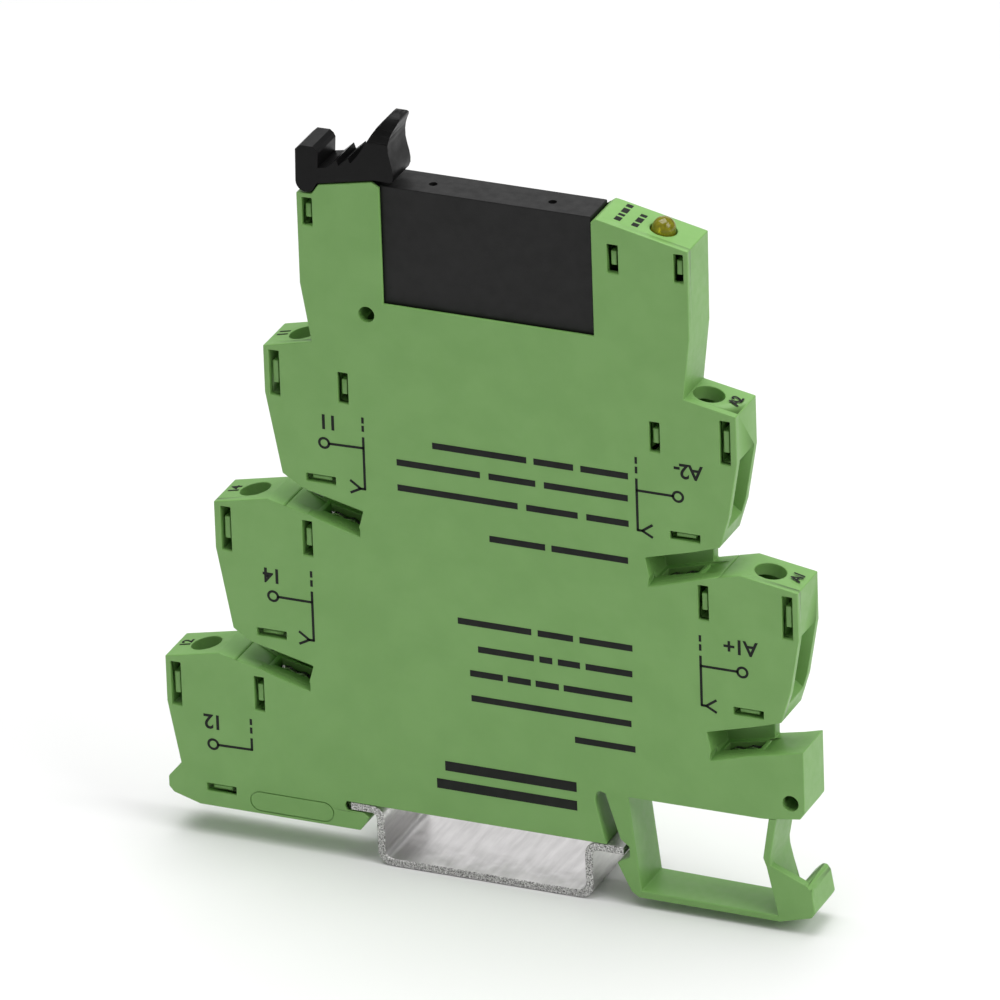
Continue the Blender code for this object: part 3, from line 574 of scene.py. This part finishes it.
def mouldings():
    cover_cuts = [cut for place in JUMPER_SLOTS for cut in slot_cutters(*place)[:2]]
    finer("housing_cover", "housing", "green_plastic", 0.13, change=cover_shape,
          cutters=cover_cuts + [plate_recess()], sharp_boxes=(FOOT_JOIN, PLATE_BOX, SEAM))
    base_cuts = [cut for place in JUMPER_SLOTS for cut in slot_cutters(*place)]
    finer("housing_base", "housing", "green_plastic", 0.13, change=base_shape, cutters=base_cuts,
          sharp_boxes=(FOOT_JOIN, SEAM))
    finer("rail_release_foot", "release_foot", "green_plastic", 0.16, shortest=0.9, change=foot_shape,
          sharp_boxes=(FOOT_JOIN,))
    lever = finer("ejector_lever", "ejector_lever", "black_plastic", 0.14, shortest=0.15, clamp=True)
    lever.modifiers["edges"].segments = 3
    dimples = [lathe([(0.0, 1.0), (0.5, 1.0), (0.5, -0.45), (0.0, -0.45)],
                     (x, -0.2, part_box("relay_case")[1].z / MM), (0, 0, 1), 24) for x in (-5.1, 9.5)]
    finer("relay_case", "relay", "relay_black", 0.16, cutters=dimples)


def jumper_contacts():
    """Bright leaves inside each jumper hole, bulging towards each other."""
    for side, tier in JUMPER_SLOTS:
        dx, dz = jumper_shift(side, tier)
        x_from, x_to = (-19.5, -15.7) if side < 0 else (26.0, 22.2)
        shape = bmesh.new()
        steps = 12
        for wall in (-1, 1):
            rows = []
            for index in range(steps + 1):
                part = index / steps
                x = x_from + (x_to - x_from) * part
                top = floor_height(side, x) - 0.42 - 0.14 * math.cos(part * math.tau * 2)
                bulge = 0.11 * math.sin(part * math.pi) ** 2
                inner = wall * (0.3 - bulge)
                outer = inner + wall * 0.12
                foot = top - 1.3
                rows.append([shape.verts.new(((x + dx) * MM, y * MM, (z + dz) * MM))
                             for y, z in ((inner, top), (outer, top - 0.08), (outer, foot), (inner, foot))])
            for first, second in zip(rows, rows[1:]):
                walls(shape, second, first)
            shape.faces.new(rows[0])
            shape.faces.new(list(reversed(rows[-1])))
        side_name = "left" if side < 0 else "right"
        piece = place_piece(f"jumper_contact_{side_name}_{tier}", shape, "housing", "tinned_copper")
        smooth_by_angle(piece, 40)


def lamp():
    """The lamp's lens: a ring foot, a short barrel and a dome, with its reflector cup seen through it."""
    axis = Vector((math.sin(TOWER_SLOPE), 0, math.cos(TOWER_SLOPE)))
    profile = [(0.0, 1.52)]
    for degrees in range(80, -1, -8):
        angle = math.radians(degrees)
        profile.append((1.38 * math.cos(angle), 0.14 + 1.38 * math.sin(angle)))
    profile += [(1.4, -0.02), (1.43, -0.1), (1.43, -3.0), (1.7, -3.1), (1.7, -3.7), (0.0, -3.7)]
    lens = place_piece("lamp_lens", lathe(profile, LAMP_PLACE, axis), "housing", "amber_lamp")
    smooth_by_angle(lens, 35)
    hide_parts("status_led")
    cup = lathe([(0.0, -0.45), (0.42, -0.45), (0.62, -0.15), (0.72, -0.15), (0.72, -1.2), (0.0, -1.2)],
                Vector(LAMP_PLACE) - axis * 0.1, axis, 32)
    smooth_by_angle(place_piece("lamp_cup", cup, "housing", "tinned_copper"), 35)


# ---------------------------------------------------------------- print

def stroke(shape, start, end, width):
    """A straight printed line between two (x, z) places."""
    first, last = Vector(start), Vector(end)
    way = (last - first).normalized()
    aside = Vector((-way.y, way.x)) * width / 2
    ends = way * width * 0.3
    points = [first - ends - aside, last + ends - aside, last + ends + aside, first - ends + aside]
    add_prism(shape, [tuple(point) for point in points], PRINT_FRONT, PRINT_BACK)


def circle_line(shape, middle, radius, width, sides=32):
    x, z = middle
    for index in range(sides):
        a, b = (math.tau * (index + step) / sides for step in (0, 1))
        corners = []
        for angle, reach in ((a, radius - width / 2), (b, radius - width / 2),
                             (b, radius + width / 2), (a, radius + width / 2)):
            corners.append((x + reach * math.cos(angle), z + reach * math.sin(angle)))
        add_prism(shape, corners, PRINT_FRONT, PRINT_BACK)


LINE = 0.31                     # widths of a symbol's line, a bar and a heavy bar
BAR = 0.8
HEAVY_BAR = 1.25
NUMBER_SIZE = 2.6
TOP_NUMBER_SIZE = 1.9
# Wiring symbols: the line's x, its dashes' and its own ends, the branch's height, the circle's
# middle, and the side that the fork at the line's foot opens to (0 for none)
SYMBOLS = [(-13.7, (49.7, 47.8), (47.2, 40.7), 45.9, (-18.6, 45.8), -1),
           (-20.9, (29.0, 26.9), (26.4, 20.2), 25.1, (-25.8, 25.1), -1),
           (-29.3, (8.6, 6.6), (6.1, 4.7), 4.7, (-34.2, 4.6), 0),
           (19.95, (50.1, 47.9), (47.4, 41.0), 46.0, (25.0, 46.0), 1),
           (27.2, (28.8, 26.7), (26.2, 20.0), 25.0, (32.3, 25.0), 1)]


def wiring_symbols():
    shape = bmesh.new()
    for x, dashes, line, branch, circle, fork in SYMBOLS:
        pitch = (dashes[0] - dashes[1]) * 0.55
        for top in (dashes[0], dashes[0] - pitch):
            stroke(shape, (x, top), (x, top - pitch * 0.55), LINE)
        stroke(shape, (x, line[0]), (x, line[1]), LINE)
        reach = 0.62 if circle[0] < x else -0.62
        stroke(shape, (x, branch), (circle[0] + reach, circle[1]), LINE)
        circle_line(shape, circle, 0.6, LINE)
        if fork:
            stroke(shape, (x, line[1]), (x + fork * 0.55, line[1]), LINE)
            stroke(shape, (x + fork * 0.55, line[1]), (x + fork * 1.75, line[1] + 0.85), LINE)
            stroke(shape, (x + fork * 0.55, line[1]), (x + fork * 1.75, line[1] - 0.65), LINE)
    place_piece("wiring_print", shape, "housing", None, "print")


# Plain bars where the photograph has lines of print: left end, right end, height, word lengths as shares
HEAVY_ROWS = [(-5.7, 11.0, 4.4), (-4.6, 11.0, 6.8)]
PRINT_ROWS = [(1.6, 18.6, 36.9, (0.55, 0.40)),
              (-9.6, 18.8, 41.6, (0.18, 0.22, 0.52)),
              (-9.6, 18.8, 44.8, (0.36, 0.20, 0.36)),
              (-5.1, 18.9, 47.6, (0.24, 0.20, 0.48)),
              (-2.7, 18.8, 25.8, (0.30, 0.20, 0.42)),
              (-0.3, 18.7, 22.5, (0.30, 0.14, 0.08, 0.36)),
              (-1.4, 18.6, 19.3, (0.42, 0.14, 0.14, 0.20)),
              (-2.6, 18.4, 16.1, (0.94,)),
              (11.4, 18.8, 12.9, (1.0,))]


def print_bars():
    shape = bmesh.new()
    for left, right, height, words in PRINT_ROWS:
        span = right - left
        gap = span * (1 - sum(words)) / max(1, len(words) - 1)
        x = right
        for share in words:
            stroke(shape, (x - 0.2, height), (x - span * share + 0.2, height), BAR)
            x -= span * share + gap
    for left, right, height in HEAVY_ROWS:
        stroke(shape, (right, height), (left, height), HEAVY_BAR)
    place_piece("rating_print", shape, "housing", None, "print")


# Terminal numbers, upside down as in the photograph: text and middle (x, z)
NUMBERS = [("11", (-18.0, 48.6)), ("14", (-25.8, 27.8)), ("12", (-34.1, 7.6)),
           ("A2-", (26.3, 49.4)), ("A1+", (32.1, 28.2))]
# Smaller numbers on the sloping tops beside the screw holes: text, middle (x, z) and side
TOP_NUMBERS = [("11", (-24.5, 57.33), -1), ("14", (-31.5, 36.4), -1), ("12", (-38.5, 15.47), -1),
               ("A2", (31.1, 57.5), 1), ("A1", (38.1, 36.5), 1)]


def lettering(name, text, size, place):
    """A number in ink, lying in the plane that the matrix gives."""
    curve = bpy.data.curves.new("number", "FONT")
    curve.body = text
    curve.size = size * MM
    curve.extrude = 0.012 * MM
    curve.offset = size * 0.02 * MM
    curve.space_character = 0.88
    curve.align_x = "CENTER"
    curve.align_y = "CENTER"
    curve.resolution_u = 4
    holder = bpy.data.objects.new("number", curve)
    link(holder)
    bpy.context.view_layer.update()
    graph = bpy.context.evaluated_depsgraph_get()
    mesh = bpy.data.meshes.new_from_object(holder.evaluated_get(graph))
    mesh.transform(place)
    bpy.data.objects.remove(holder)
    bpy.data.curves.remove(curve)
    shape = bmesh.new()
    shape.from_mesh(mesh)
    bpy.data.meshes.remove(mesh)
    bmesh.ops.remove_doubles(shape, verts=shape.verts, dist=0.001 * MM)
    place_piece(name, shape, "housing", None, "print")


def plane_at(middle, across, upright):
    """A matrix that puts text at a place (mm), reading along across."""
    normal = Vector(across).cross(Vector(upright))
    turn = Matrix((across, upright, normal)).transposed().to_4x4()
    return Matrix.Translation(Vector(middle) * MM) @ turn


def terminal_numbers():
    for number, (text, (x, z)) in enumerate(NUMBERS):
        lettering(f"terminal_number_{number}", text, NUMBER_SIZE,
                  plane_at((x, PRINT_FRONT + 0.013, z), (-1, 0, 0), (0, 0, -1)))
    for number, (text, (x, z), side) in enumerate(TOP_NUMBERS):
        upright = (-math.cos(TILT), 0, side * math.sin(TILT))
        lettering(f"top_number_{number}", text, TOP_NUMBER_SIZE, plane_at((x, 0.2, z), (0, 1, 0), upright))


def tower_ticks():
    """Short printed ticks on the sloping top beside the lamp."""
    shape = bmesh.new()
    along = Vector((math.cos(TOWER_SLOPE), 0, -math.sin(TOWER_SLOPE)))
    up = Vector((math.sin(TOWER_SLOPE), 0, math.cos(TOWER_SLOPE)))
    left, top = TOWER_TOP[0]
    for row, lengths in ((17.9, (0.9, 0.5, 1.1, 0.7)), (20.0, (0.8, 1.1, 0.6))):
        start = Vector((row, 0, top - (row - left) * math.tan(TOWER_SLOPE)))
        y = -1.7
        for length in lengths:
            corners = []
            for height in (-0.02, 0.014):
                for depth, width in ((y, -0.4), (y + length, -0.4), (y + length, 0.4), (y, 0.4)):
                    point = start + along * width + up * height + Vector((0, depth, 0))
                    corners.append(shape.verts.new(point * MM))
            closed(shape, corners[:4], corners[4:])
            y += length + 0.35
    place_piece("lamp_print", shape, "housing", None, "print")


# ---------------------------------------------------------------- rail

RAIL_PATH = [((-17.05, -0.52), 0), ((-13.4, -0.52), 1.3), ((-13.4, -6.98), 1.6),
             ((12.6, -6.98), 1.6), ((12.6, -0.52), 1.3), ((16.95, -0.52), 0)]
RAIL_THICK = 0.96
RAIL_FRONT = -3.05
RAIL_BACK = 10.0
RAIL_SNIP_FROM = 13.4
RAIL_SNIP = 6.4
RAIL_EDGE = 0.08                # the stub's edges are broken by this much
# Of the eight sides around its section, the cut ends and the broken edges that look sheared
SHEARED_SIDES = (0, 3, 4, 6, 7)


def rounded_path(corners, steps=7):
    """The points of a path whose corners have radii."""
    points = []
    for index, (corner, radius) in enumerate(corners):
        corner = Vector(corner)
        if not radius:
            points.append(corner)
            continue
        before = (Vector(corners[index - 1][0]) - corner).normalized()
        after = (Vector(corners[index + 1][0]) - corner).normalized()
        for step in range(steps + 1):
            part = step / steps
            points.append(corner + before * radius * (1 - part) ** 2 + after * radius * part ** 2)
    return points


def rail():
    """A stub of 35 mm hat rail under the module, which isn't part of it."""
    points = rounded_path(RAIL_PATH)
    shape = bmesh.new()
    inset = RAIL_EDGE
    rings = []
    for index, point in enumerate(points):
        ahead = points[min(index + 1, len(points) - 1)] - points[max(index - 1, 0)]
        aside = Vector((-ahead.y, ahead.x)).normalized()
        half = RAIL_THICK / 2
        y0 = RAIL_FRONT
        snipped = max(0.0, (point.x - RAIL_SNIP_FROM) / (points[-1].x - RAIL_SNIP_FROM))
        y1 = RAIL_BACK - RAIL_SNIP * snipped
        ring = []
        for y, reach in ((y0, half - inset), (y0 + inset, half), (y1 - inset, half), (y1, half - inset),
                         (y1, inset - half), (y1 - inset, -half), (y0 + inset, -half), (y0, inset - half)):
            place = point + aside * reach
            ring.append(shape.verts.new((place.x * MM, y * MM, place.y * MM)))
        rings.append(ring)
    for first, second in zip(rings, rings[1:]):
        for index, face in enumerate(walls(shape, second, first)):
            face.material_index = 1 if index in SHEARED_SIDES else 0
    shape.faces.new(rings[0]).material_index = 1
    shape.faces.new(list(reversed(rings[-1]))).material_index = 1
    bmesh.ops.recalc_face_normals(shape, faces=shape.faces)
    mesh = bpy.data.meshes.new("rail_stub")
    shape.to_mesh(mesh)
    shape.free()
    mesh.materials.append(metal("rolled_rail", srgb(208, 206, 206), srgb(226, 224, 224), (0.3, 0.44),
                                stretch=(1, 0.12, 1), grain=1500, depth=0.002))
    mesh.materials.append(metal("sheared_edge", srgb(70, 68, 68), srgb(236, 234, 234), (0.35, 0.6),
                                grain=5200, depth=0.06))
    stub = bpy.data.objects.new("rail_stub", mesh)
    link(stub)
    smooth_by_angle(stub, 30)


# ---------------------------------------------------------------- assembly

camera()
floor(FLOOR_HEIGHT * MM)
surroundings()
mouldings()
jumper_contacts()
lamp()
wiring_symbols()
print_bars()
terminal_numbers()
tower_ticks()
rail()
